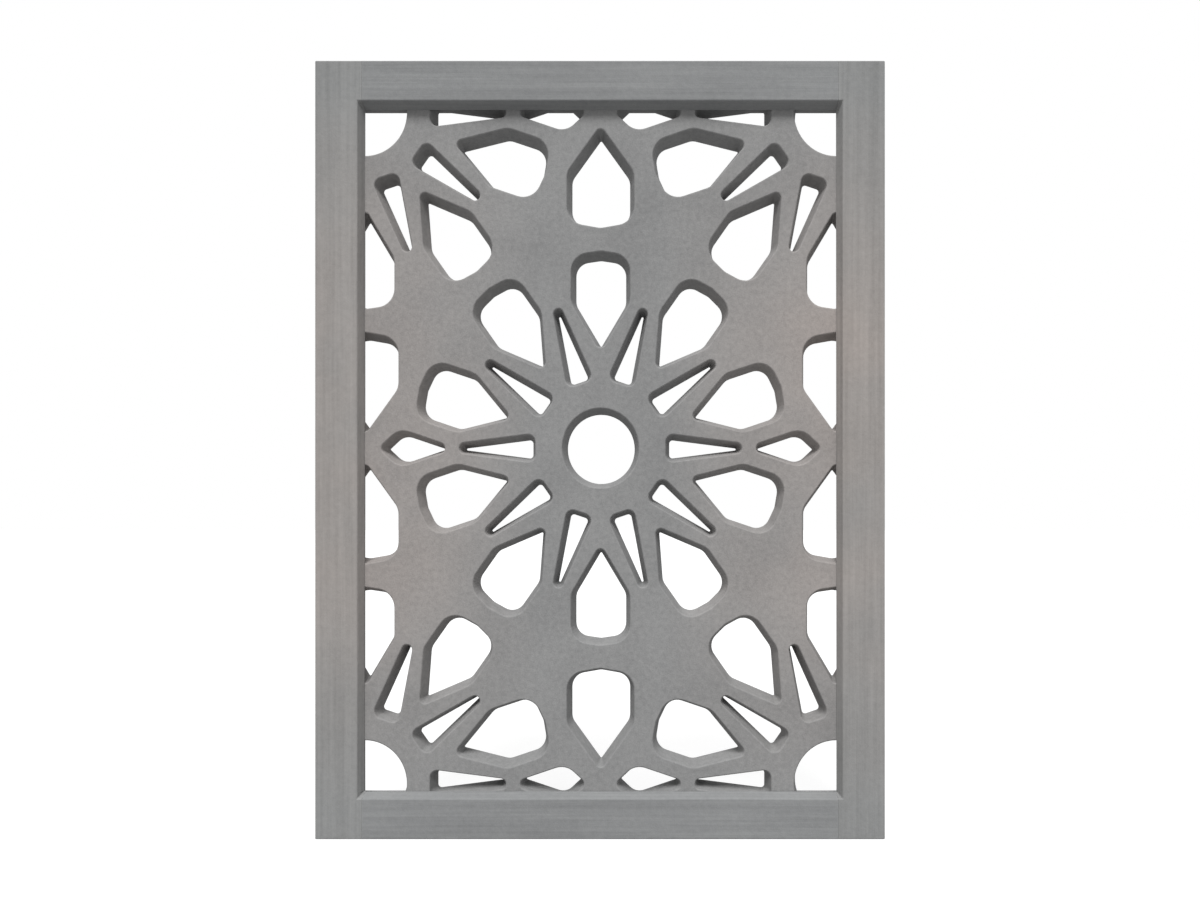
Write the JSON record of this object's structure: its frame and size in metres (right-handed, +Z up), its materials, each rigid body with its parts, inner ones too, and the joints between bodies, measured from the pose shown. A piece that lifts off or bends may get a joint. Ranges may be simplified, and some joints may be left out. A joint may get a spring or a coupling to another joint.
{
  "type": "pierced geometric screen panel",
  "caption": "Portrait window screen: a cast slab pierced with a star-and-petal pattern, its openings splayed towards the face, set back in a plain rectangular surround.",
  "frame": {"origin": "middle of the underside of the surround, half way between its face and its back", "axes": "+Z up the screen, -Y out of its face, +X to the right seen from the front"},
  "size_m": [0.732, 0.042, 1],
  "materials": {
    "slab": "matt cast cement, mid grey",
    "stile": "matt cast cement, warm mid grey, drawn lengthwise",
    "rail": "matt cast cement, cool mid grey, drawn lengthwise"
  },
  "bodies": {
    "root": {"pierced_slab": "slab", "left_stile": "stile", "right_stile": "stile", "bottom_rail": "rail", "top_rail": "rail"}
  },
  "joints": []
}
